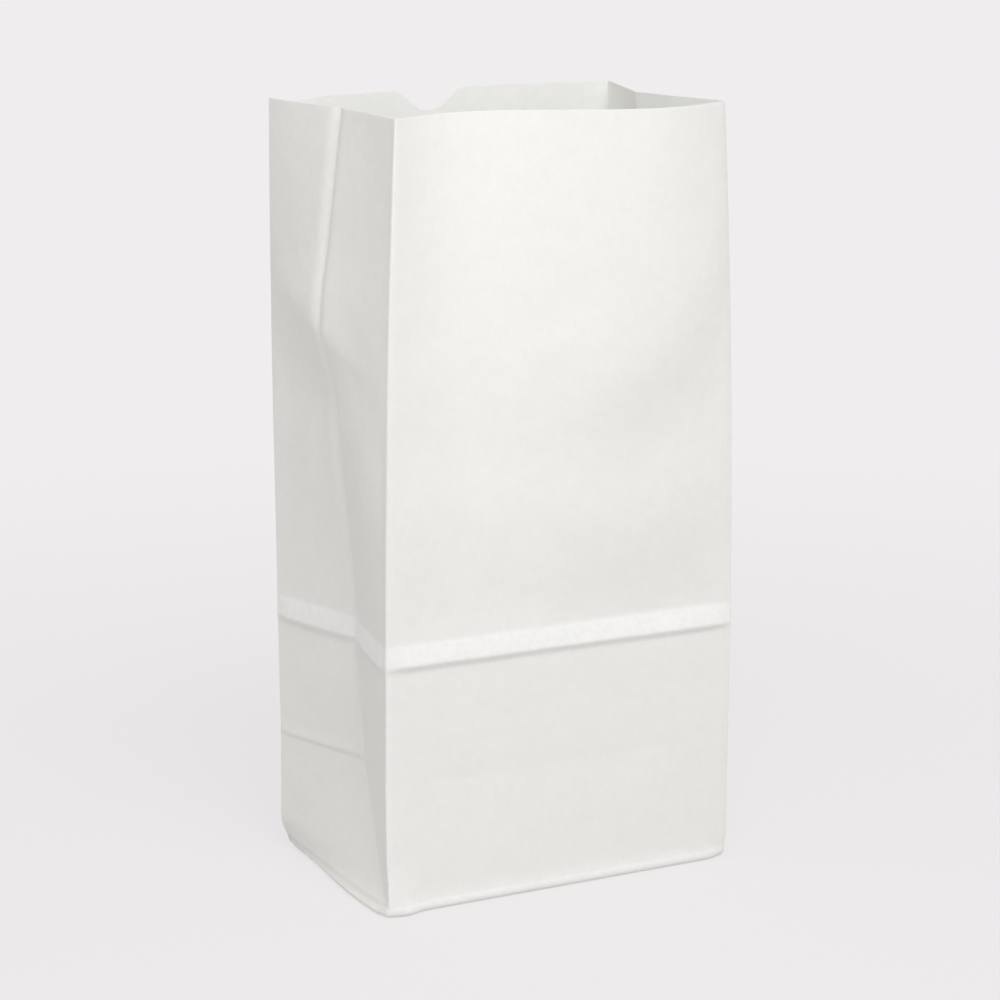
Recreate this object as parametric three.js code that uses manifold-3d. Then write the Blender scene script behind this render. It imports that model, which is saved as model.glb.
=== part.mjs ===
// A white kraft paper lunch bag of the self-opening kind, standing open on its folded block bottom.
// It is one sheet: two panels, two gussets with a centre crease, and a bottom of pasted flaps.
// Millimetres, +Z up. The origin is on the ground under the middle of the base.
// The front panel faces -Y, the back panel +Y, the left gusset -X and the right gusset +X.
import * as THREE from "three";
import { mergeVertices } from "three/addons/utils/BufferGeometryUtils.js";
import Module from "manifold-3d";

const wasm = await Module();
wasm.setup();
const { lerp, clamp, smoothstep } = THREE.MathUtils;

// Driving sizes of the bag and its sheet
const bagWidth = 158.8;
const bagDepth = 101.6;
const bagHeight = 315.9;
const paper = 0.4;
const baseFoldRadius = 2;

// The all-round crease that the folded bottom pressed into the bag while it lay flat
const bandHeight = 9;
const bandProud = 1.3;
const bandStep = 1.6;

// The lesser crease across the back panel and the back half of each gusset
const halfCreaseProud = 0.7;
const halfCreaseRamp = 4;

// The share of a pressed crease's rise that is left at a corner fold
const proudAtFold = 0.45;

// The free edge: how far the panels wave there, and how far the front has slid along the back
const frontWave = 12.8;
const backBow = 6;
const panelSlide = 0.75;

// How far the centre crease of a gusset stands in from the line between its two corner folds
const leftGusset = { side: -1, apexPush: 17.6, kinkPush: -3.7, kinkBelowRim: 86, rimPush: 5.4 };
const rightGusset = { side: 1, apexPush: 5, kinkPush: 9, kinkBelowRim: 100, rimPush: 14.3 };
const gussetEase = 1.7;

// The thumb notch in the free edge of the back panel. It is wider and slower to rise on its right.
const notchDepth = 8.5;
const notchFromMiddle = -6;
const notchLeftReach = 15.5;
const notchRightReach = 18.5;
const notchRightEase = 1.6;

// The pasted lap down the back panel, and the overlap of the two bottom flaps
const lapWidth = 16;
const lapFromRightFold = 22;
const lapEdge = 0.3;
const flapOverlap = 24;

// How finely the sheet is divided
const panelColumns = 12;
const foldColumns = 3;
const rowSpacing = 24;
const arcSteps = 3;
const notchSteps = 8;
const cutterMargin = 10;

// Heights that follow from the folding
const halfDepth = bagDepth / 2;
const bandBottom = bagDepth; // the folded bottom is as long as the bag is deep
const bandTop = bandBottom + bandHeight;
const flapPlies = 2;
const basePlies = flapPlies + 1;

// How far a height is on the way from the base fold to the gusset's apex, from 0 to 1
function leanAt(height) {
  return clamp((height - baseFoldRadius) / (halfDepth - baseFoldRadius), 0, 1);
}

// How far a height is on the way from the band to the rim, from 0 to 1
function freeAt(height) {
  return clamp((height - bandTop) / (bagHeight - bandTop), 0, 1);
}

// The sheet keeps its width, so a wave in a panel draws its two corner folds together
function chord(wave, halfWaves) {
  return bagWidth * (1 - ((halfWaves * Math.PI * wave) / (2 * bagWidth)) ** 2);
}

function gussetPush(gusset, height) {
  const kink = bagHeight - gusset.kinkBelowRim;
  if (height > kink) {
    return lerp(gusset.kinkPush, gusset.rimPush, (height - kink) / gusset.kinkBelowRim);
  }
  const rise = clamp((height - halfDepth) / (kink - halfDepth), 0, 1);
  return lerp(gusset.apexPush, gusset.kinkPush, rise ** gussetEase);
}

// The front and back corner fold of a gusset. Its halves keep their width, so a push draws them near.
function cornerFolds(gusset, height) {
  const slide = panelSlide * smoothstep(height, baseFoldRadius, bandBottom);
  const frontX = slide + (gusset.side * chord(frontWave * freeAt(height), 2)) / 2;
  const backX = (gusset.side * chord(backBow * freeAt(height), 1)) / 2 - slide;
  const skew = (frontX - backX) / 2;
  const drawnIn = Math.sqrt(halfDepth ** 2 - gussetPush(gusset, height) ** 2 - skew ** 2);
  const reach = lerp(halfDepth, drawnIn, leanAt(height));
  return { front: new THREE.Vector2(frontX, -reach), back: new THREE.Vector2(backX, reach) };
}

// The front panel is pushed in near its left fold and bulges near its right one
function frontPanel(height) {
  const left = cornerFolds(leftGusset, height).front;
  const right = cornerFolds(rightGusset, height).front;
  const wave = frontWave * freeAt(height);
  const columns = [];
  for (let i = 0; i < panelColumns; i++) {
    const along = i / panelColumns;
    const place = left.clone().lerp(right, along);
    place.y += wave * Math.sin(2 * Math.PI * along);
    columns.push({ place, z: height, toCrease: 0, halfCrease: false, lapAlong: bagWidth });
  }
  return columns;
}

// The back panel from its right fold, with a close pair of columns at each edge of the pasted lap
function backPanel(height) {
  const right = cornerFolds(rightGusset, height).back;
  const left = cornerFolds(leftGusset, height).back;
  const lapEnd = lapFromRightFold + lapWidth;
  const lengths = [0, lapFromRightFold / 2, lapFromRightFold - lapEdge, lapFromRightFold, lapEnd];
  const rest = panelColumns - lengths.length + 2;
  for (let i = 0; i < rest; i++) {
    lengths.push(lerp(lapEnd + lapEdge, bagWidth, i / rest));
  }
  return lengths.map((lapAlong) => {
    const along = lapAlong / bagWidth;
    const place = right.clone().lerp(left, along);
    place.y += backBow * freeAt(height) * Math.sin(Math.PI * along);
    return { place, z: height, toCrease: 0, halfCrease: true, lapAlong };
  });
}

// A gusset from its first corner fold, over its centre crease, to just before its second fold.
// Below the apex a diagonal runs from each base corner to the crease, and the triangle between the
// diagonals leans out to the base. The apex sinks a little as it is pushed in.
function gussetSheet(gusset, height, startsAtFront) {
  const { front, back } = cornerFolds(gusset, height);
  const first = startsAtFront ? front : back;
  const last = startsAtFront ? back : front;
  const middle = front.clone().lerp(back, 0.5);
  const inward = new THREE.Vector2(front.y - back.y, back.x - front.x)
    .normalize()
    .multiplyScalar(gusset.side);
  const lean = leanAt(height);
  const push = gussetPush(gusset, height);
  const sunk = halfDepth - Math.sqrt(halfDepth ** 2 - gusset.apexPush ** 2);
  const sinks = Math.min(lean, (bagHeight - height) / (bagHeight - halfDepth));
  const columns = [];
  for (let i = 0; i < 2 * foldColumns; i++) {
    const isFirstHalf = i < foldColumns;
    const across = isFirstHalf ? i / foldColumns : 2 - i / foldColumns;
    const place = (isFirstHalf ? first : last).clone().lerp(middle, across);
    place.addScaledVector(inward, push * Math.min(across, lean));
    const halfCrease = startsAtFront ? i >= foldColumns : i <= foldColumns;
    columns.push({
      place,
      z: height - sunk * sinks * across,
      toCrease: isFirstHalf ? 1 : -1,
      halfCrease,
      lapAlong: bagWidth,
    });
  }
  return columns;
}

// Each of the four sheets starts at a corner fold
function section(height) {
  const sheets = [
    frontPanel(height),
    gussetSheet(rightGusset, height, true),
    backPanel(height),
    gussetSheet(leftGusset, height, false),
  ];
  return sheets.flatMap((sheet) =>
    sheet.map((column, i) => ({ ...column, proud: i === 0 ? proudAtFold : 1 })),
  );
}

// How far the pressed creases stand proud: each ramps out downwards and steps back under its edge
function creaseRise(height, halfCrease) {
  if (height >= bandBottom) return bandProud * clamp((bandTop - height) / bandHeight, 0, 1);
  if (!halfCrease) return 0;
  if (height > halfDepth) {
    return halfCreaseProud * clamp(1 - (height - halfDepth) / halfCreaseRamp, 0, 1);
  }
  return halfCreaseProud * clamp(1 - foldColumns * (1 - leanAt(height)), 0, 1);
}

// In the lap the sheet is doubled: the outer ply ends at its left edge and the inner ply at its
// right edge, and the outer ply comes back into line with the panel at the right corner fold.
function lapRise(lapAlong, isOuter) {
  const edge = isOuter ? lapFromRightFold + lapWidth : lapFromRightFold - lapEdge;
  if (lapAlong > edge) return 0;
  return paper * clamp((2 * lapAlong) / lapFromRightFold, 0, 1);
}

// One closed outline of the outer or inner face, set in square to the edges of the section
function outline({ height, inset }, isOuter) {
  const columns = section(height);
  return columns.map((column, i) => {
    const { place, z, halfCrease, lapAlong, proud } = column;
    const before = columns[(i + columns.length - 1) % columns.length].place;
    const after = columns[(i + 1) % columns.length].place;
    const sideIn = new THREE.Vector2(before.y - place.y, place.x - before.x).normalize();
    const sideOut = new THREE.Vector2(place.y - after.y, after.x - place.x).normalize();
    const distance = inset - creaseRise(height, halfCrease) * proud;
    const mitre = sideIn.clone().add(sideOut).multiplyScalar(distance / (1 + sideIn.dot(sideOut)));
    return new THREE.Vector3(place.x + mitre.x, place.y + mitre.y + lapRise(lapAlong, isOuter), z);
  });
}

// The rows of one face: round the base fold, up the diagonals, over each crease and to the rim
function faceRows(floor, inset, top) {
  const rows = [];
  for (let i = 0; i <= arcSteps; i++) {
    const angle = (Math.PI / 2) * (i / arcSteps);
    rows.push({
      height: lerp(floor, baseFoldRadius, 1 - Math.cos(angle)),
      inset: lerp(inset, baseFoldRadius, 1 - Math.sin(angle)),
    });
  }
  const heights = [
    halfDepth + halfCreaseRamp,
    bandBottom - bandStep,
    bandBottom,
    bandTop,
    bagHeight - leftGusset.kinkBelowRim,
    bagHeight - rightGusset.kinkBelowRim,
    bagHeight,
  ];
  for (let i = 1; i <= foldColumns; i++) {
    heights.push(lerp(baseFoldRadius, halfDepth, i / foldColumns));
  }
  heights.sort((a, b) => a - b);
  let last = heights[0];
  for (const height of heights) {
    const count = Math.ceil((height - last) / rowSpacing);
    for (let i = 1; i < count; i++) {
      rows.push({ height: lerp(last, height, i / count), inset });
    }
    rows.push({ height, inset });
    last = height;
  }
  if (top > bagHeight) rows.push({ height: top, inset });
  return rows;
}

// A solid through rings of points, closed at its ends. Beside a gusset's crease each four-sided
// patch is split along the diagonal fold.
function loft(rings, columns) {
  const count = columns.length;
  const positions = rings.flat().flatMap((point) => point.toArray());
  const index = [];
  for (let row = 0; row < rings.length - 1; row++) {
    for (let i = 0; i < count; i++) {
      const a = row * count + i;
      const b = row * count + ((i + 1) % count);
      const c = a + count;
      const d = b + count;
      if (columns[i].toCrease < 0) index.push(a, b, c, b, d, c);
      else index.push(a, b, d, a, d, c);
    }
  }
  const lastRing = (rings.length - 1) * count;
  for (const [ring, start, isTop] of [[rings[0], 0, false], [rings.at(-1), lastRing, true]]) {
    const flat = ring.map((point) => new THREE.Vector2(point.x, point.y));
    for (const [a, b, c] of THREE.ShapeUtils.triangulateShape(flat, [])) {
      index.push(start + a, start + (isTop ? b : c), start + (isTop ? c : b));
    }
  }
  const geometry = new THREE.BufferGeometry();
  geometry.setAttribute("position", new THREE.Float32BufferAttribute(positions, 3));
  geometry.setIndex(index);
  return solid(geometry);
}

function solid(geometry) {
  geometry.deleteAttribute("normal");
  geometry.deleteAttribute("uv");
  const merged = mergeVertices(geometry);
  return new wasm.Manifold(
    new wasm.Mesh({
      numProp: 3,
      vertProperties: merged.attributes.position.array,
      triVerts: new Uint32Array(merged.index.array),
    }),
  );
}

function face(floor, inset, top, isOuter) {
  const rings = faceRows(floor, inset, top).map((row) => outline(row, isOuter));
  return loft(rings, section(bagHeight));
}

// The notch is a smooth S on each side, cut through the back panel only
function notchCutter() {
  const shape = new THREE.Shape();
  shape.moveTo(notchRightReach, cutterMargin);
  shape.lineTo(-notchLeftReach, cutterMargin);
  for (let i = -notchSteps; i <= notchSteps; i++) {
    const [reach, ease] = i < 0 ? [notchLeftReach, 1] : [notchRightReach, notchRightEase];
    const share = (Math.abs(i) / notchSteps) ** ease;
    shape.lineTo((reach * i) / notchSteps, (-notchDepth * (1 + Math.cos(Math.PI * share))) / 2);
  }
  const depth = 2 * cutterMargin;
  const geometry = new THREE.ExtrudeGeometry(shape, { depth, bevelEnabled: false });
  geometry.rotateX(Math.PI / 2);
  geometry.translate(notchFromMiddle - panelSlide, halfDepth + cutterMargin, bagHeight);
  return solid(geometry);
}

// A bottom flap is the panel turned round the base fold and on under the base sheet, past the
// middle. Its ends are mitred from the base corners. The outermost flap, at ply 0, rests on the ground.
function bottomFlap(ply, turn) {
  const level = ply * paper;
  const buried = (basePlies - 0.5) * paper;
  const foldStart = paper / 2;
  const reach = halfDepth + flapOverlap / 2;
  const radius = baseFoldRadius - foldStart;
  const profile = new THREE.Shape();
  profile.moveTo(foldStart, baseFoldRadius);
  profile.absellipse(
    baseFoldRadius, baseFoldRadius, radius, baseFoldRadius - level, Math.PI, 1.5 * Math.PI, false,
  );
  profile.lineTo(reach, level);
  profile.lineTo(reach, buried);
  profile.lineTo(baseFoldRadius, buried);
  profile.absellipse(
    baseFoldRadius, baseFoldRadius, radius, baseFoldRadius - buried, 1.5 * Math.PI, Math.PI, true,
  );
  const strip = new THREE.ExtrudeGeometry(profile, {
    depth: bagWidth,
    bevelEnabled: false,
    curveSegments: arcSteps,
  });
  const [x, y, z] = [new THREE.Vector3(1, 0, 0), new THREE.Vector3(0, 1, 0), new THREE.Vector3(0, 0, 1)];
  strip.applyMatrix4(new THREE.Matrix4().makeBasis(y, z, x));
  strip.translate(-bagWidth / 2, -halfDepth, 0);
  const mitre = new THREE.Shape();
  mitre.moveTo(-bagWidth / 2, -halfDepth);
  mitre.lineTo(bagWidth / 2, -halfDepth);
  mitre.lineTo(0, bagWidth / 2 - halfDepth);
  const depth = 2 * cutterMargin;
  const wedge = new THREE.ExtrudeGeometry(mitre, { depth, bevelEnabled: false });
  wedge.translate(0, 0, -cutterMargin);
  strip.rotateZ(turn);
  wedge.rotateZ(turn);
  return solid(strip).intersect(solid(wedge));
}

const outside = face(flapPlies * paper, 0, bagHeight, true);
const inside = face(basePlies * paper, paper, bagHeight + cutterMargin, false);
const bag = outside
  .subtract(inside)
  .subtract(notchCutter())
  .add(bottomFlap(0, 0))
  .add(bottomFlap(1, Math.PI));

const cut = bag.getMesh();
const bagGeometry = new THREE.BufferGeometry();
bagGeometry.setAttribute("position", new THREE.BufferAttribute(cut.vertProperties, 3));
bagGeometry.setIndex(new THREE.BufferAttribute(cut.triVerts, 1));
bagGeometry.computeVertexNormals();

const whiteKraft = new THREE.MeshStandardMaterial({
  color: 0xf1efea,
  roughness: 0.85,
  metalness: 0,
  flatShading: true,
});

const paperBag = new THREE.Mesh(bagGeometry, whiteKraft);
paperBag.name = "paper_bag";

const group = new THREE.Group();
group.add(paperBag);

export default group;
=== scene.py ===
import math

import bpy
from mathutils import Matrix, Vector, noise


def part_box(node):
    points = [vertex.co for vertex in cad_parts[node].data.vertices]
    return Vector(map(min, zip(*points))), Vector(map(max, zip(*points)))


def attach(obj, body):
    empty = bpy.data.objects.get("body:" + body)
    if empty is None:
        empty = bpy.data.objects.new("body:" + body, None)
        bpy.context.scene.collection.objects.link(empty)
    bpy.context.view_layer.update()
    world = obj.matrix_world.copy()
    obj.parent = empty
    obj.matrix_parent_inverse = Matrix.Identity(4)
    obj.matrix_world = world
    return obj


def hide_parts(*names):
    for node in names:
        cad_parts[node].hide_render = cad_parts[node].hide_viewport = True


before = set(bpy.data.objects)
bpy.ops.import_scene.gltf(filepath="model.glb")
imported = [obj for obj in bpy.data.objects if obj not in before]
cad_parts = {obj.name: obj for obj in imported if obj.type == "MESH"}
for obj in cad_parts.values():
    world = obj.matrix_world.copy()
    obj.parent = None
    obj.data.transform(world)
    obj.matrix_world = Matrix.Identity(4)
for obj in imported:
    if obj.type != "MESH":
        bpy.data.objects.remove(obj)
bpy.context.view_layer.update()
nodeLow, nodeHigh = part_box("paper_bag")
print("frame loaded, node box", [round(v, 4) for v in (*nodeLow, *nodeHigh)])


# Small helpers

facing = 0.9  # a face looks along an axis when that part of its normal is greater than this
corners = ((-1, -1), (-1, 1), (1, -1), (1, 1))  # left or right, front or back


def clamp01(value):
    return min(1.0, max(0.0, value))


def blendTo(start, end, share):
    return start + (end - start) * share


def smoothStep(value):
    value = clamp01(value)
    return value * value * (3 - 2 * value)


def softLow(a, b, radius):  # the lower of two values, rounded over a radius where they cross
    return (a + b - math.sqrt((a - b) ** 2 + radius**2)) / 2


def nothingSelected():
    if bpy.context.mode != "OBJECT":
        bpy.ops.object.mode_set(mode="OBJECT")
    bpy.ops.object.select_all(action="DESELECT")


def selectOnly(piece):
    nothingSelected()
    piece.select_set(True)
    bpy.context.view_layer.objects.active = piece


def pickEdges(piece, test):  # selects the edges whose two ends pass the test
    bpy.ops.mesh.select_mode(type="EDGE")
    bpy.ops.mesh.select_all(action="DESELECT")
    bpy.ops.object.mode_set(mode="OBJECT")
    points = piece.data.vertices
    for edge in piece.data.edges:
        edge.select = test(*(points[i].co for i in edge.vertices))
    bpy.ops.object.mode_set(mode="EDIT")


def pickFaces(piece, test):  # selects the faces whose middle and normal pass the test
    bpy.ops.mesh.select_mode(type="FACE")
    bpy.ops.mesh.select_all(action="DESELECT")
    bpy.ops.object.mode_set(mode="OBJECT")
    for face in piece.data.polygons:
        face.select = test(face.center, face.normal)
    bpy.ops.object.mode_set(mode="EDIT")


def addNode(tree, kind, inputs, **settings):
    # Makes a node and gives its inputs their values or another node's outputs. Returns its own outputs
    node = tree.nodes.new(kind)
    for name, value in settings.items():
        setattr(node, name, value)
    for name, value in inputs.items():
        if isinstance(value, bpy.types.NodeSocket):
            tree.links.new(value, node.inputs[name])
        else:
            node.inputs[name].default_value = value
    return node.outputs


# The bag in metres. Its width, depth and most of its folds are the source's. The band stands further out,
# the gussets' creases sink less, and the left one is pushed in less at its apex
bag = {
    "width": 0.1588,
    "depth": 0.1016,
    "height": nodeHigh.z,
    "paper": 0.0004,
    "foldRound": 0.0011,  # how softly the corner folds and the base fold turn
    "foldSegments": 4,
    "smoothAngle": 40,  # in degrees
    "leanFrom": 0.002,  # the triangles below the gussets' apexes lean out from this height
    "bandHeight": 0.009,
    "bandProud": 0.0017,
    "bandEase": 0.85,
    "bandStep": 0.0028,
    "halfCreaseProud": 0.0007,
    "halfCreaseRamp": 0.004,
    "halfCreaseStep": 0.0012,
    "halfCreaseFront": -0.0001,  # it runs across the back from here, just before the gussets' middle
    "proudAtFold": (0.15, 0.009),  # the share of a crease's rise left at a corner fold, and its reach
    "proudNormal": 0.3,  # where the level part of the normal is less, as under the base, no crease rises
    "backPanelFrom": 0.99,  # as a share of half the depth
    "frontWave": 0.0128,
    "backBow": 0.006,
    "backBowSkew": 1.3,
    "panelSlide": 0.00075,
    "gussetEase": 2.2,
    "sunkShare": 0.35,  # the sheet gives, so its pushed-in crease sinks by this share of a stiff sheet's
    "sinkReach": 0.0027,  # the crease lies deeper than its gusset over this far
    "sinkFade": 0.03,  # and starts to do so above the apex, over this far
    "creaseRound": 0.0009,
    "diagonalRound": 0.0011,
    "kinkRound": 0.006,
    "lineLift": 0.0008,  # how much higher the creases run on the left gusset than on the front
    "lineLiftReach": 0.022,  # and along the back panel, over this far from the left fold
    "lapWidth": 0.016,
    "lapFromRightFold": 0.022,
    "lapEdge": 0.0003,
    "flapOverlap": 0.024,
}
leftGusset = {
    "side": -1,
    "apexPush": 0.015,
    "kinkPush": -0.0037,
    "kinkBelowRim": 0.086,
    "rimPush": 0.0054,
    "kinkClimb": 0.022,
    "creaseSink": 0.0017,
}
rightGusset = {
    "side": 1,
    "apexPush": 0.005,
    "kinkPush": 0.009,
    "kinkBelowRim": 0.1,
    "rimPush": 0.0143,
    "kinkClimb": 0.02,
    "creaseSink": 0.0006,
}
backRim = {
    "notchDepth": 0.0085,
    "notchFromMiddle": -0.006,
    "notchReach": (0.0155, 0.0185),  # from its lowest point to the left and to the right shoulder
    "notchEase": (1.0, 1.6),
    "dip": (0.0015, -0.067, 0.0095),  # by the back left fold: how deep, where along the panel, how wide
    "leftLower": 0.0004,  # how much lower the left half is
    "fade": 0.03,  # the points below the rim move down with it over this far
}
halfWidth, halfDepth, rim = bag["width"] / 2, bag["depth"] / 2, bag["height"]
bandBottom = bag["depth"]  # the folded bottom is as long as the bag is deep
bandTop = bandBottom + bag["bandHeight"]
lapEnd = bag["lapFromRightFold"] + bag["lapWidth"]


# The block bottom stands a little out of square: its left edge is turned in towards the back, its near
# left corner stands out, and its corners are rounded
bottom = {
    "flare": 0.0011,
    "flareAt": 0.0024,
    "flareHeight": 0.0022,
    "leftEdge": (-0.002, 0.0058),  # how far the left edge is moved to the right at its front and its back
    "leftEdgeSpan": (-0.036, 0.085),
    "leftEdgeHeight": 0.0135,
    "leftEdgeEase": 1.6,
    "leftEdgeReach": 0.03,
    "nearCornerOut": 0.0026,
    "nearCornerFrom": 0.061,
    "nearCornerFade": 0.01,
    "nearCornerSlope": 3,  # it comes out over the front third of the half depth
    "nearCornerHeight": 0.02,
    "tuckReach": 0.01,
    "tuckShare": 0.7,
    "tuckLift": 0.2,
    "mitreGap": 0.003,
    "plyFade": 0.006,  # the raised plies come down to the base edge over this far
    "plyHeight": 0.0025,
}
cornerTucks = {  # left or right, front or back
    (-1, 1): 0.0012,
    (-1, -1): 0.002,
    (1, -1): 0.0024,
    (1, 1): 0.002,
}


def leanAt(height):
    return clamp01((height - bag["leanFrom"]) / (halfDepth - bag["leanFrom"]))


def freeAt(height):
    return clamp01((height - bandTop) / (rim - bandTop))


def chord(wave, halfWaves):  # the sheet keeps its width, so a wave draws its two folds together
    return bag["width"] * (1 - (halfWaves * math.pi * wave / (2 * bag["width"])) ** 2)


def gussetPush(gusset, height):
    # How far the centre crease is pushed in, from the apex to the kink and then straight on to the rim
    kink = rim - gusset["kinkBelowRim"]
    slope = (gusset["rimPush"] - gusset["kinkPush"]) / gusset["kinkBelowRim"]
    above = gusset["kinkPush"] + slope * (height - kink)
    rise = clamp01((height - halfDepth) / (kink - halfDepth))
    below = blendTo(gusset["apexPush"], gusset["kinkPush"], rise ** bag["gussetEase"])
    return blendTo(below, above, smoothStep((height - kink) / (2 * bag["kinkRound"]) + 0.5))


def cornerFolds(gusset, height):
    slide = bag["panelSlide"] * smoothStep((height - bag["leanFrom"]) / (bandBottom - bag["leanFrom"]))
    side = gusset["side"]
    frontX = slide + side * chord(bag["frontWave"] * freeAt(height), 2) / 2
    backX = side * chord(bag["backBow"] * freeAt(height), 1) / 2 - slide
    push = gussetPush(gusset, height)
    drawnIn = math.sqrt(halfDepth**2 - push**2 - ((frontX - backX) / 2) ** 2)
    reach = blendTo(halfDepth, drawnIn, leanAt(height))
    return Vector((frontX, -reach)), Vector((backX, reach))


def foldedPlace(box):
    # Where a point of the straight box goes when the bag is folded
    height = box.z
    leftFront, leftBack = cornerFolds(leftGusset, height)
    rightFront, rightBack = cornerFolds(rightGusset, height)
    across = box.x / bag["width"] + 0.5
    deep = box.y / bag["depth"] + 0.5
    free = freeAt(height)
    front = leftFront.lerp(rightFront, across)
    front.y += bag["frontWave"] * free * math.sin(2 * math.pi * across)
    back = leftBack.lerp(rightBack, across)
    back.y += bag["backBow"] * free * math.sin(math.pi * clamp01(across) ** bag["backBowSkew"])
    place = front.lerp(back, deep)
    z = height
    if abs(box.x) > halfWidth - bag["foldRound"]:
        gusset = leftGusset if box.x < 0 else rightGusset
        foldFront, foldBack = (leftFront, leftBack) if box.x < 0 else (rightFront, rightBack)
        inward = Vector((foldFront.y - foldBack.y, foldBack.x - foldFront.x)).normalized() * gusset["side"]
        toCrease = abs(2 * deep - 1)
        rounding = bag["creaseRound"] / halfDepth
        tent = max(0.0, 1 + rounding / 2 - math.sqrt(toCrease**2 + rounding**2))
        lean = leanAt(height)
        kinkLift = gusset["kinkClimb"] * (2 * deep - 1)  # the kink runs aslant, up to the back fold
        push = gussetPush(gusset, height - kinkLift)
        sink = gusset["creaseSink"] * smoothStep((height - halfDepth) / bag["sinkFade"])
        nearCrease = math.exp(-(toCrease * halfDepth / bag["sinkReach"]) ** 2)
        place += inward * (push - sink) * max(0.0, softLow(tent, lean, bag["diagonalRound"] / halfDepth))
        place += inward * sink * nearCrease
        sunk = halfDepth - math.sqrt(halfDepth**2 - gusset["apexPush"] ** 2)
        z -= sunk * bag["sunkShare"] * min(lean, (rim - height) / (rim - halfDepth)) * tent
    return Vector((place.x, place.y, z))


def creaseRise(height, onBackHalf):
    # How far the pressed creases stand proud, out of the flat sheet
    if height >= bandBottom:
        down = clamp01((bandTop - height) / bag["bandHeight"])
        return bag["bandProud"] * down ** bag["bandEase"]
    if height > bandBottom - bag["bandStep"]:
        return bag["bandProud"] * (1 - smoothStep((bandBottom - height) / bag["bandStep"]))
    if not onBackHalf:
        return 0.0
    if height > halfDepth:
        return bag["halfCreaseProud"] * clamp01(1 - (height - halfDepth) / bag["halfCreaseRamp"])
    return bag["halfCreaseProud"] * (1 - smoothStep((halfDepth - height) / bag["halfCreaseStep"]))


def onBackPanel(box):
    return box.y > halfDepth * bag["backPanelFrom"]


def lapRise(box):
    lapAlong = halfWidth - box.x
    if not onBackPanel(box) or lapAlong > lapEnd:
        return 0.0
    return bag["paper"] * clamp01(2 * lapAlong / bag["lapFromRightFold"])


def notchDip(x):
    along = x - backRim["notchFromMiddle"]
    half = int(along > 0)  # left or right of the notch's lowest point
    share = min(1.0, abs(along) / backRim["notchReach"][half])
    notch = backRim["notchDepth"] * (1 + math.cos(math.pi * share ** backRim["notchEase"][half])) / 2
    dip, place, wide = backRim["dip"]
    return notch + dip * math.exp(-((x - place) / wide) ** 2) + backRim["leftLower"] * (x < 0)


def startBag():
    nothingSelected()
    bpy.ops.mesh.primitive_cube_add(size=1, location=(0, 0, rim / 2))
    piece = bpy.context.active_object
    piece.name = "folded_bag"
    piece.data.name = "folded_bag"
    piece.scale = (bag["width"], bag["depth"], rim)
    bpy.ops.object.transform_apply(location=True, rotation=False, scale=True)
    selectOnly(piece)
    bpy.ops.object.mode_set(mode="EDIT")
    pickFaces(piece, lambda middle, normal: normal.z > facing)
    bpy.ops.mesh.delete(type="FACE")
    pickEdges(piece, lambda a, b: min(a.z, b.z) < rim / 2)  # the four upright folds and the base fold
    bpy.ops.mesh.bevel(offset=bag["foldRound"], segments=bag["foldSegments"], profile=0.5)
    return piece


cuts = {
    "columnGap": 0.003,
    "notchColumns": 16,
    "gussetColumns": 26,  # from a corner fold to the centre crease, and as many rows up to the apex
    "besideCrease": 0.0007,
    "clearOfFold": 0.0005,  # no gusset column lies closer to the rounded corner fold
    "rowGap": 0.0032,
    "stepRows": (1.3, 1, 0.75, 0.5, 0.25, 0),  # below the band, as shares of the step under it
    "bandRows": (0.12, 0.3, 0.55, 0.8, 0.92, 1, 1.12),  # as shares of the band's height
    "aboveBand": 0.001,
    "threshold": 0.00002,
}


def cutPicked(point, normal):
    bpy.ops.mesh.bisect(plane_co=point, plane_no=normal, threshold=cuts["threshold"])


def cutAcross(point, normal):
    bpy.ops.mesh.select_all(action="SELECT")
    cutPicked(point, normal)


def panelColumns():
    inner = halfWidth - bag["foldRound"]
    count = round((bag["width"] - 2 * bag["foldRound"]) / cuts["columnGap"])
    lapFold, lapSide = halfWidth - bag["lapFromRightFold"], halfWidth - lapEnd
    columns = [lapFold, lapSide, lapSide - bag["lapEdge"]]
    columns += [blendTo(-inner, inner, i / count) for i in range(1, count)]
    notchLeft = backRim["notchFromMiddle"] - backRim["notchReach"][0]
    notchRight = backRim["notchFromMiddle"] + backRim["notchReach"][1]
    count = cuts["notchColumns"]
    columns += [blendTo(notchLeft, notchRight, i / count) for i in range(count + 1)]
    return columns


def gussetColumns():
    count, beside = cuts["gussetColumns"], cuts["besideCrease"]
    columns = [0.0, beside, -beside]
    for i in range(1, count):
        y = halfDepth * (1 - i / count)
        if y < halfDepth - bag["foldRound"] - cuts["clearOfFold"]:
            columns += [y, -y]
    return columns


def sheetRows():
    count, halfCreaseTop = cuts["gussetColumns"], halfDepth + bag["halfCreaseRamp"]
    rows = [blendTo(bag["leanFrom"], halfDepth, i / count) for i in range(count + 1)]
    rows += [halfDepth - bag["halfCreaseStep"] / 2, halfDepth - bag["halfCreaseStep"]]
    rows += [halfDepth + bag["halfCreaseRamp"] / 2, halfCreaseTop]
    rows += [bandBottom - bag["bandStep"] * share for share in cuts["stepRows"]]
    rows += [blendTo(bandBottom, bandTop, share) for share in cuts["bandRows"]]
    stepFoot = bandBottom - bag["bandStep"] * cuts["stepRows"][0]
    for low, high in ((halfCreaseTop, stepFoot), (bandTop + cuts["aboveBand"], rim)):
        count = round((high - low) / cuts["rowGap"])
        rows += [blendTo(low, high, i / count) for i in range(1, count)]
    return sorted(set(rows))


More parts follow.
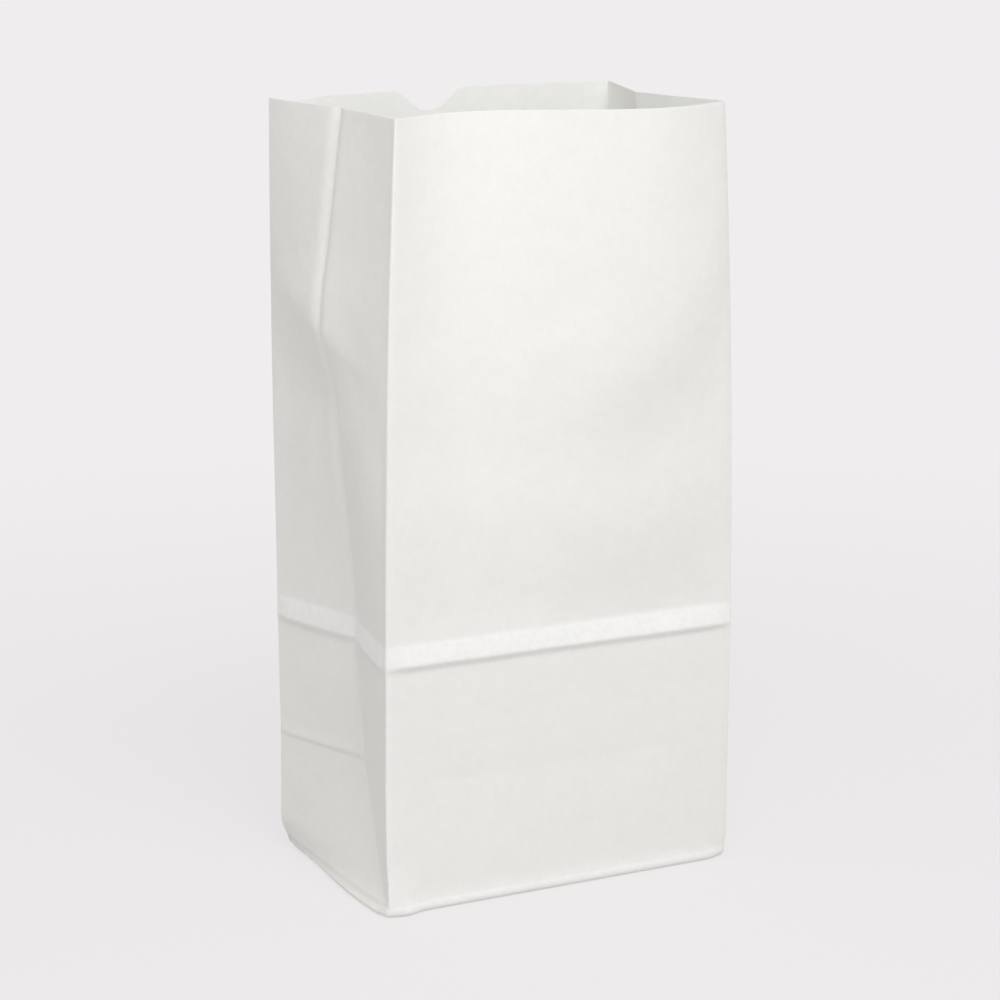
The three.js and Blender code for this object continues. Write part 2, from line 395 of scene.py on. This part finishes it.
def cutDiagonals(piece):
    # Through the gussets below the apex, where the triangle leans out
    slope = (halfDepth - bag["leanFrom"]) / halfDepth
    for side, half in corners:
        def lowerSide(middle, normal):
            return abs(normal.x) > facing and normal.x * side > 0 and middle.y * half > 0 \
                and bag["leanFrom"] < middle.z < halfDepth
        pickFaces(piece, lowerSide)
        cutPicked((0, half * halfDepth, bag["leanFrom"]), (0, half * slope, 1))


def cutBottom(piece):
    # On both sides of the upper flap's end and of each corner's mitre, where the plies step up
    flapEnd, gap = bag["flapOverlap"] / 2, bottom["mitreGap"] / 2
    for step in (-gap, gap):
        pickFaces(piece, lambda middle, normal: normal.z < -facing)
        cutPicked((0, flapEnd + step, 0), (0, 1, 0))
        for side, face in corners:
            def ownCorner(middle, normal):
                return normal.z < -facing and middle.x * side > 0 and middle.y * face > 0
            pickFaces(piece, ownCorner)
            cutPicked((side * (halfWidth + step), face * halfDepth, 0), (side, -face, 0))


def cutSheet(piece):
    for x in panelColumns():
        cutAcross((x, 0, 0), (1, 0, 0))
    for y in gussetColumns():
        cutAcross((0, y, 0), (0, 1, 0))
    for z in sheetRows():
        cutAcross((0, 0, z), (0, 0, 1))
    cutDiagonals(piece)
    cutBottom(piece)
    bpy.ops.object.mode_set(mode="OBJECT")


piece = startBag()
cutSheet(piece)
print("sheet cut:", len(piece.data.vertices), "points")


# Where the panels swell and dip a little, in millimetres: the place along the panel and its height, half
# its width and height, its turn in degrees, and how far it stands out. The front and back run from the left
# fold as seen in the photo, the gussets from the middle towards the back
swells = {
    "front": [
        (119, 228, 60, 24, 45, 1.9),
        (112, 186, 48, 20, 12, -1.2),
        (70, 155, 110, 18, -4, 0.9),
        (80, 117, 140, 13, -2, -0.9),
        (72, 222, 20, 9, 20, 0.5),
        (78, 52.4, 95, 1.8, 0, -0.2),
        (60, 78, 45, 12, 10, -0.3),
        (105, 34, 40, 14, -15, 0.3),
    ],
    "left": [
        (30, 160, 15, 5, -60, 0.4),
        (20, 152, 12, 4, -66, -0.4),
        (26, 76, 18, 14, 0, 0.4),
        (30, 24, 14, 7, 30, 0.5),
        (-28, 165, 15, 24, 0, 1.7),
        (-26, 214, 15, 18, 0, -1.6),
        (22, 240, 26, 14, -12, 1.5),
        (18, 203, 26, 15, -12, -3),
        (24, 184, 9, 3.5, -55, 0.6),
    ],
    "right": [
        (24, 190, 18, 12, 40, 0.7),
        (-22, 170, 16, 18, -35, -0.6),
        (10, 250, 12, 26, 0, 0.5),
        (-26, 80, 18, 14, 0, 0.4),
    ],
    "back": [
        (40, 236, 60, 22, -35, 1.1),
        (54, 182, 50, 18, -10, -0.8),
        (90, 150, 100, 18, 3, 0.7),
        (80, 117, 140, 13, 2, -0.8),
        (120, 270, 30, 26, 20, 0.6),
    ],
}
folds = {
    "flat": 0.011,  # the swells fade towards a fold over this far
    "baseFade": (0.004, 0.02),  # and start above the base at this height, over this far
    "spread": 3,  # beyond this many times its size a swell isn't felt
    "cockle": 0.00032,
    "cockleSize": (42, 42, 34),
}


def panelPlace(box):
    # The panel that a point lies on, its place there, along and up, and how far the nearest corner fold is
    if abs(box.y) > halfDepth - bag["foldRound"] / 2:
        panel = "front" if box.y < 0 else "back"
        return panel, box.x + halfWidth, box.z, halfWidth - abs(box.x)
    return ("left" if box.x < 0 else "right"), box.y, box.z, halfDepth - abs(box.y)


def swellOut(box):
    panel, along, up, toFold = panelPlace(box)
    out = 0.0
    for middle, height, wide, tall, turn, rise in swells[panel]:
        dx, dz = along * 1000 - middle, up * 1000 - height
        if abs(dx) + abs(dz) > folds["spread"] * (wide + tall):
            continue
        cosine, sine = math.cos(math.radians(turn)), math.sin(math.radians(turn))
        a, b = (dx * cosine + dz * sine) / wide, (dz * cosine - dx * sine) / tall
        out += rise * 0.001 * math.exp(-a * a - b * b)
    cockle = noise.noise(Vector(value * size for value, size in zip(box, folds["cockleSize"])))
    out += folds["cockle"] * cockle
    start, span = folds["baseFade"]
    return out * (smoothStep(toFold / folds["flat"]) * smoothStep((up - start) / span))


def bottomShape(box):
    move = Vector((0, 0, 0))
    onSide = smoothStep((abs(box.x) - halfWidth + bag["foldRound"]) / bag["foldRound"])
    onFace = smoothStep((abs(box.y) - halfDepth + bag["foldRound"]) / bag["foldRound"])
    flare = bottom["flare"] * math.exp(-((box.z - bottom["flareAt"]) / bottom["flareHeight"]) ** 2)
    move.x += math.copysign(flare * onSide, box.x)
    move.y += math.copysign(flare * onFace, box.y)
    start, span = bottom["leftEdgeSpan"]
    turned = blendTo(*bottom["leftEdge"], smoothStep((box.y - start) / span))
    nearLeft = smoothStep((bottom["leftEdgeReach"] - halfWidth - box.x) / bottom["leftEdgeReach"])
    upEdge = clamp01(1 - box.z / bottom["leftEdgeHeight"])
    move.x += turned * nearLeft * upEdge ** bottom["leftEdgeEase"]
    slope = bottom["nearCornerSlope"]
    byCorner = smoothStep((-box.x - bottom["nearCornerFrom"]) / bottom["nearCornerFade"])
    byCorner *= smoothStep(-box.y / halfDepth * slope - (slope - 1))
    move.y -= bottom["nearCornerOut"] * byCorner * clamp01(1 - box.z / bottom["nearCornerHeight"])
    for (side, face), tuck in cornerTucks.items():
        corner = Vector((side * halfWidth, face * halfDepth, 0))
        near = smoothStep(1 - (box - corner).length / bottom["tuckReach"])
        move += Vector((-side, -face, bottom["tuckLift"])) * tuck * near * bottom["tuckShare"]
    return move


def bottomPly(box):
    # The front flap lies outermost, the back flap is one sheet higher, and the ends between them are two
    gap = bottom["mitreGap"]
    fromMitre = abs(box.y) - halfDepth + halfWidth - abs(box.x)
    flapEnd = bag["flapOverlap"] / 2
    onFlap = clamp01(fromMitre / gap + 0.5)
    level = blendTo(2, clamp01((box.y - flapEnd) / gap + 0.5), onFlap)
    fromEdge = min(halfWidth - abs(box.x), halfDepth - abs(box.y))
    fade = smoothStep(fromEdge / bottom["plyFade"])
    return bag["paper"] * level * clamp01(1 - box.z / bottom["plyHeight"]) * fade


def lineLift(box):
    # The creases climb from the front fold to the left gusset's middle, and come down on the back panel
    reach = bag["lineLiftReach"]
    share = smoothStep(box.z / halfDepth) * (1 - smoothStep((box.z - bandTop) / halfDepth))
    share *= smoothStep((box.y + halfDepth) / halfDepth) * smoothStep((reach - halfWidth - box.x) / reach)
    return bag["lineLift"] * share


def raisedPlace(box, normal):
    # The pressed creases stand proud of the straight box, and the back panel is cut down to its rim
    raised = box.copy()
    level = Vector((normal.x, normal.y, 0))
    if level.length > bag["proudNormal"]:
        share, reach = bag["proudAtFold"]
        share = blendTo(share, 1, smoothStep(panelPlace(box)[3] / reach))
        raised += level.normalized() * creaseRise(box.z, box.y > bag["halfCreaseFront"]) * share
    fade = backRim["fade"]
    if onBackPanel(box) and box.z > rim - fade:
        raised.z -= notchDip(box.x) * smoothStep((box.z - rim + fade) / fade)
    return raised


def foldBag(piece):
    mesh = piece.data
    places = [point.co.copy() for point in mesh.vertices]
    normals = [point.normal.copy() for point in mesh.vertices]
    for point, box, normal in zip(mesh.vertices, places, normals):
        point.co = foldedPlace(raisedPlace(box, normal)) + bottomShape(box)
        point.co.y += lapRise(box)
        point.co.z += bottomPly(box) + lineLift(box)
    mesh.update()
    outs = [point.normal * swellOut(box) for point, box in zip(mesh.vertices, places)]
    for point, out in zip(mesh.vertices, outs):
        point.co += out
    mesh.update()
    return places


def keepUnfolded(piece, places):
    # The material finds the folds by the place that a point has on the unfolded sheet
    values = [value for place in places for value in place]
    piece.data.attributes.new("unfolded", "FLOAT_VECTOR", "POINT").data.foreach_set("vector", values)


keepUnfolded(piece, foldBag(piece))
print("bag folded")


def giveThickness(piece):
    outerPoints = len(piece.data.vertices)
    wall = piece.modifiers.new("paper", "SOLIDIFY")
    wall.thickness = bag["paper"]
    wall.offset = -1
    wall.use_even_offset = True
    selectOnly(piece)
    bpy.ops.object.modifier_apply(modifier="paper")
    points = len(piece.data.vertices)
    inner = [float(i >= outerPoints) for i in range(points)]  # the new inner sheet comes last
    piece.data.attributes.new("inner", "FLOAT", "POINT").data.foreach_set("value", inner)
    bpy.ops.object.shade_smooth_by_angle(angle=math.radians(bag["smoothAngle"]))


giveThickness(piece)
print("paper given its thickness:", len(piece.data.polygons), "faces")


kraft = {
    "color": (0.88, 0.87, 0.845),
    "innerLitColor": (0.93, 0.925, 0.9),  # the side that faces in, made lighter: painted light standing in for the light that comes through the thin sheet
    "wornColor": (0.945, 0.94, 0.93),  # where a fold has been pressed hard, and painted highlight on the folds, creases, band and base edge
    # painted shade
    "paintedShadeColor": (0.8, 0.775, 0.735),
    "clouds": (42.0, 0.006),  # how fine, and how much lighter or darker
    "cloudDetail": 2.0,
    "mottle": (240.0, 0.006),
    "fibres": (800.0, 330.0, 0.006),  # how fine across and along the run of the sheet, and how much
    "noiseSpan": (0.3, 0.7),  # the part of a noise that runs from the darkest to the lightest
    "roughness": (0.76, 0.92),
    "grainBump": 0.00004,
    "cockleBump": (115.0, 0.00042),  # how fine and how deep
    "glow": (0.35, 0.001),  # how much light the thin sheet lets through, and how far it spreads
    "glowTint": (1, 0.95, 0.88),
    "gussetFrom": (0.0005, 0.001),  # closer to the side than this is gusset, and further in is panel
    "halvesFade": 0.002,  # from the gusset's middle to where its front or back half counts in full
    "leftUpTo": (-0.03, -0.02),
    "aboveKink": (0.215, 0.235),
    # Painted highlight, partly also wear of pressed folds, and painted shade, each with its width and
    # strength, after the height where it has one
    "patchyFine": 380.0,
    "patchySpan": (0.35, 0.62),
    "patchyLeast": 0.6,  # the least of the painted highlight and wear that the patchy noise leaves
    # along the corner folds and the base fold: partly wear, partly painted highlight
    "foldWearAndHighlight": (0.0016, 0.55),
    "nearFoldHighlight": (0.0045, 0.4),  # painted highlight on the front panel, beside the near left fold
    "nearFoldStart": (0.0002, 0.0008),
    # along the gussets' creases and diagonals: partly wear, partly painted highlight
    "creaseWearAndHighlight": (0.0014, 0.6),
    "diagonalShare": 0.7,  # how much narrower the diagonals' wear and painted highlight is
    "bandHighlight": (0.0008, 0.0013, 0.7),  # painted highlight above the band's lower edge
    # the whole band painted lighter, a painted highlight where it faces up to the light
    "bandTone": 0.9,
    "bandEdges": (0.0002, 0.0003, 0.0015),  # how softly it starts at the lower edge and ends at the top
    # painted shadow under the band
    "underBandShade": (0.0022, 0.25),
    "creaseShade": (0.0024, 0.6),  # on the front side of the left gusset's crease
    "cornerShade": (0.007, 0.35),  # on the left gusset, beside the near fold
    "halfCreaseShade": (0.001, 0.5),
    "ridgeHighlight": (0.003, 1.0),  # painted highlight beside the upper crease of the left gusset, on its back half
    # painted highlight along the base edge
    "baseHighlight": (0.0034, 0.0018, 1.0),
    "baseShade": (0.0022, 0.5),  # under the base edge
    "baseLineShade": (0.0045, 0.0014, 0.9),  # painted shade in the groove above the left base edge
}
kraftPaper = bpy.data.materials.new("white_kraft_paper")
kraftPaper.use_nodes = True


def addKraft(kind, inputs, **settings):
    return addNode(kraftPaper.node_tree, kind, inputs, **settings)


def maths(operation, first, second=0.0):
    return addKraft("ShaderNodeMath", {0: first, 1: second}, operation=operation)[0]


def times(first, *others):
    for other in others:
        first = maths("MULTIPLY", first, other)
    return first


def most(first, *others):
    for other in others:
        first = maths("MAXIMUM", first, other)
    return first


def awayFrom(value, place):
    return maths("ABSOLUTE", maths("SUBTRACT", value, place))


def ramp(value, fromLow, fromHigh, toLow, toHigh):
    inputs = {"Value": value, "From Min": fromLow, "From Max": fromHigh, "To Min": toLow, "To Max": toHigh}
    return addKraft("ShaderNodeMapRange", inputs, interpolation_type="SMOOTHSTEP")["Result"]


def near(distance, reach, share=1):
    return ramp(distance, 0.0, reach, share, 0)


def speckle(place, scale, detail=3.0):
    return addKraft("ShaderNodeTexNoise", {"Vector": place, "Scale": scale, "Detail": detail})["Fac"]


def attribute(name):
    return addKraft("ShaderNodeAttribute", {}, attribute_name=name)


def blendColor(share, first, second):  # sockets 6 and 7, and output 2, are the mix's colours
    return addKraft("ShaderNodeMix", {0: share, 6: first, 7: (*second, 1)}, data_type="RGBA")[2]


def paintKraft():
    place = addKraft("ShaderNodeTexCoord", {})["Object"]
    sheet = addKraft("ShaderNodeSeparateXYZ", {0: attribute("unfolded")["Vector"]})
    height = sheet[2]
    deep = maths("ABSOLUTE", sheet[1])
    fromSide = maths("SUBTRACT", halfWidth, maths("ABSOLUTE", sheet[0]))
    fromPanel = maths("SUBTRACT", halfDepth, deep)

    # The gussets, their front and back halves, and the left side
    onGusset = ramp(fromSide, *kraft["gussetFrom"], 1, 0)
    onBack = ramp(sheet[1], 0.0, kraft["halvesFade"], 0, 1)
    onFront = ramp(sheet[1], -kraft["halvesFade"], 0.0, 1, 0)
    onLeft = ramp(sheet[0], *kraft["leftUpTo"], 1, 0)
    onLeftGusset = times(onGusset, onLeft)
    offLeftGusset = maths("SUBTRACT", 1.0, onLeftGusset)
    aboveKink = ramp(height, *kraft["aboveKink"], 0, 1)

    # Painted highlight, partly also wear of pressed folds, on folds, creases, the band and the base edge,
    # broken up by patchy noise
    foldReach, foldShare = kraft["foldWearAndHighlight"]
    worn = near(most(fromSide, fromPanel), foldReach, foldShare)
    creaseReach, creaseShare = kraft["creaseWearAndHighlight"]
    toCrease = most(deep, maths("SUBTRACT", halfDepth, height))
    toDiagonal = maths("ABSOLUTE", maths("SUBTRACT", maths("ADD", height, deep), halfDepth))
    diagonals = times(near(toDiagonal, creaseReach * kraft["diagonalShare"]), onFront)
    worn = most(worn, times(most(near(toCrease, creaseReach), diagonals), onGusset, creaseShare))
    bandAbove, bandReach, bandShare = kraft["bandHighlight"]
    worn = most(worn, near(awayFrom(height, bandBottom + bandAbove), bandReach, bandShare))
    baseAt, baseReach, baseShare = kraft["baseHighlight"]
    baseStrip = times(near(awayFrom(height, baseAt), baseReach), offLeftGusset)
    leftStrip = times(near(height, baseAt), onLeftGusset)
    worn = most(worn, times(most(baseStrip, leftStrip), baseShare))
    worn = most(worn, times(near(deep, *kraft["ridgeHighlight"]), onBack, onLeftGusset, aboveKink))
    nearReach, nearShare = kraft["nearFoldHighlight"]
    besideFold = times(near(fromSide, nearReach), onFront, onLeft)
    worn = most(worn, times(besideFold, ramp(fromSide, *kraft["nearFoldStart"], 0, nearShare)))
    under, over, fade = kraft["bandEdges"]
    onBand = times(ramp(height, bandBottom - under, bandBottom + over, 0, 1),
                   ramp(height, bandTop - fade, bandTop, kraft["bandTone"], 0))
    patchy = ramp(speckle(place, kraft["patchyFine"]), *kraft["patchySpan"], kraft["patchyLeast"], 1)
    worn = times(most(worn, onBand), patchy)

    # Painted shade: under the band and the base edge, along the lesser crease, and beside the left gusset's
    # folds
    paintedShade = near(awayFrom(height, bandBottom - bag["bandStep"]), *kraft["underBandShade"])
    for distance, name in ((deep, "creaseShade"), (fromPanel, "cornerShade")):
        shadeReach, shadeShare = kraft[name]
        shade = times(near(distance, shadeReach), onFront, onLeftGusset)
        paintedShade = most(paintedShade, times(shade, ramp(height, halfDepth / 2, halfDepth, 0, shadeShare)))
    paintedShade = most(paintedShade, times(near(height, *kraft["baseShade"]), offLeftGusset))
    paintedShade = most(paintedShade, times(near(awayFrom(height, halfDepth), *kraft["halfCreaseShade"]), onBack))
    lineHeight, lineWidth, lineShare = kraft["baseLineShade"]
    paintedShade = most(paintedShade, times(near(awayFrom(height, lineHeight), lineWidth, lineShare), onLeftGusset))

    cloudSize, cloudShare = kraft["clouds"]
    mottleSize, mottleShare = kraft["mottle"]
    fine, along, fibreShare = kraft["fibres"]
    clouds = speckle(place, cloudSize, kraft["cloudDetail"])
    mottle = speckle(place, mottleSize)
    stretched = addKraft("ShaderNodeMapping", {"Vector": place, "Scale": (fine, fine, along)})["Vector"]
    fibres = speckle(stretched, 1.0)
    tone = 1.0
    for value, share in ((clouds, cloudShare), (mottle, mottleShare), (fibres, fibreShare)):
        tone = maths("ADD", tone, ramp(value, *kraft["noiseSpan"], -share, share))
    color = blendColor(attribute("inner")["Fac"], (*kraft["color"], 1), kraft["innerLitColor"])
    color = blendColor(worn, color, kraft["wornColor"])
    color = blendColor(paintedShade, color, kraft["paintedShadeColor"])
    toned = addKraft("ShaderNodeVectorMath", {0: color, "Scale": tone}, operation="SCALE")[0]

    cockleSize, cockleDepth = kraft["cockleBump"]
    cockles = {"Height": speckle(place, cockleSize), "Distance": cockleDepth}
    grain = {"Height": maths("ADD", fibres, mottle), "Distance": kraft["grainBump"]}
    grain["Normal"] = addKraft("ShaderNodeBump", cockles)[0]

    tree = kraftPaper.node_tree
    shader = tree.nodes["Principled BSDF"]
    tree.links.new(toned, shader.inputs["Base Color"])
    tree.links.new(ramp(mottle, *kraft["noiseSpan"], *kraft["roughness"]), shader.inputs["Roughness"])
    tree.links.new(addKraft("ShaderNodeBump", grain)[0], shader.inputs["Normal"])
    shader.inputs["Subsurface Weight"].default_value = kraft["glow"][0]
    shader.inputs["Subsurface Scale"].default_value = kraft["glow"][1]
    shader.inputs["Subsurface Radius"].default_value = kraft["glowTint"]


paintKraft()
piece.data.materials.clear()
piece.data.materials.append(kraftPaper)
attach(piece, "root")
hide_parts("paper_bag")
print("paper painted")


# Floor, light and camera
studio = {
    "backgroundColor": (0.871, 0.847, 0.855),
    "floorColor": (0.74, 0.725, 0.73),
    "floorSize": 6,
    "floorRoughness": 0.9,
    "floorGlow": 0.78,  # the share of plain background colour in the floor beside the bag
    "floorFade": (0.15, 0.9),  # from and to these distances that share grows to all of it
    "fillStrength": 0.605,
    "fillColor": (1, 1, 0.98),
}
camera = {
    "azimuth": -28.62,
    "elevation": 12.45,
    "distance": 1.36,
    "lens": 119.16,
    "sensor": 36,
    "nearest": 0.05,
    "aim": (-0.00104, 0, 0.15158),
}
lamps = {
    "key_light": {"place": (-0.05, -0.8, 1.25), "power": 5.2},
    "left_light": {"place": (-0.5, -0.9, 1.2), "power": 4.8},
}
lampSize = 0.6
lampAim = (0, 0, 0.16)


def addCamera():
    turn, lift = math.radians(camera["azimuth"]), math.radians(camera["elevation"])
    back = Vector((math.sin(turn) * math.cos(lift), -math.cos(turn) * math.cos(lift), math.sin(lift)))
    place = Vector(camera["aim"]) + back * camera["distance"]
    bpy.ops.object.camera_add(location=place)
    eye = bpy.context.active_object
    eye.name = "photo_camera"
    eye.rotation_mode = "QUATERNION"
    eye.rotation_quaternion = (-back).to_track_quat("-Z", "Y")
    eye.data.lens = camera["lens"]
    eye.data.sensor_width = camera["sensor"]
    eye.data.clip_start = camera["nearest"]
    bpy.context.scene.camera = eye


def addFloor():
    nothingSelected()
    bpy.ops.mesh.primitive_plane_add(size=studio["floorSize"], location=(0, 0, 0))
    floor = bpy.context.active_object
    floor.name = "studio_floor"
    material = bpy.data.materials.new("studio_floor")
    material.use_nodes = True
    tree = material.node_tree
    surface = tree.nodes["Principled BSDF"]
    surface.inputs["Base Color"].default_value = (*studio["floorColor"], 1)
    surface.inputs["Roughness"].default_value = studio["floorRoughness"]
    fadeFrom, fadeTo = studio["floorFade"]
    least = studio["floorGlow"]
    seen = addNode(tree, "ShaderNodeLightPath", {})["Is Camera Ray"]
    place = addNode(tree, "ShaderNodeTexCoord", {})["Object"]
    away = addNode(tree, "ShaderNodeVectorMath", {0: place}, operation="LENGTH")["Value"]
    fade = {"Value": away, "From Min": fadeFrom, "From Max": fadeTo, "To Min": least, "To Max": 1}
    share = addNode(tree, "ShaderNodeMapRange", fade, interpolation_type="SMOOTHSTEP")["Result"]
    share = addNode(tree, "ShaderNodeMath", {0: share, 1: seen}, operation="MULTIPLY")[0]
    glow = addNode(tree, "ShaderNodeEmission", {"Color": (*studio["backgroundColor"], 1)})[0]
    mix = addNode(tree, "ShaderNodeMixShader", {0: share, 1: surface.outputs[0], 2: glow})[0]
    tree.links.new(mix, tree.nodes["Material Output"].inputs["Surface"])
    floor.data.materials.append(material)


def addLamps():
    for name, lamp in lamps.items():
        bpy.ops.object.light_add(type="AREA", location=lamp["place"])
        light = bpy.context.active_object
        light.name = name
        light.data.shape = "DISK"
        light.data.size = lampSize
        light.data.energy = lamp["power"]
        aim = Vector(lampAim) - Vector(lamp["place"])
        light.rotation_euler = aim.to_track_quat("-Z", "Y").to_euler()


def addWorld():
    # The camera and gloss see the plain background, and the bag is lit by the fill
    world = bpy.data.worlds.new("studio")
    bpy.context.scene.world = world
    world.use_nodes = True
    tree = world.node_tree
    tree.nodes.clear()
    rays = addNode(tree, "ShaderNodeLightPath", {})
    seen = addNode(tree, "ShaderNodeMath", {0: rays["Is Camera Ray"], 1: rays["Is Glossy Ray"]},
                   operation="MAXIMUM")[0]
    background = addNode(tree, "ShaderNodeBackground", {"Color": (*studio["backgroundColor"], 1)})[0]
    fill = addNode(tree, "ShaderNodeBackground", {"Color": (*studio["fillColor"], 1),
                                                  "Strength": studio["fillStrength"]})[0]
    mix = addNode(tree, "ShaderNodeMixShader", {0: seen, 1: fill, 2: background})[0]
    addNode(tree, "ShaderNodeOutputWorld", {"Surface": mix})


addCamera()
addFloor()
addLamps()
addWorld()
bpy.context.scene.view_settings.view_transform = "Standard"
print("studio ready")
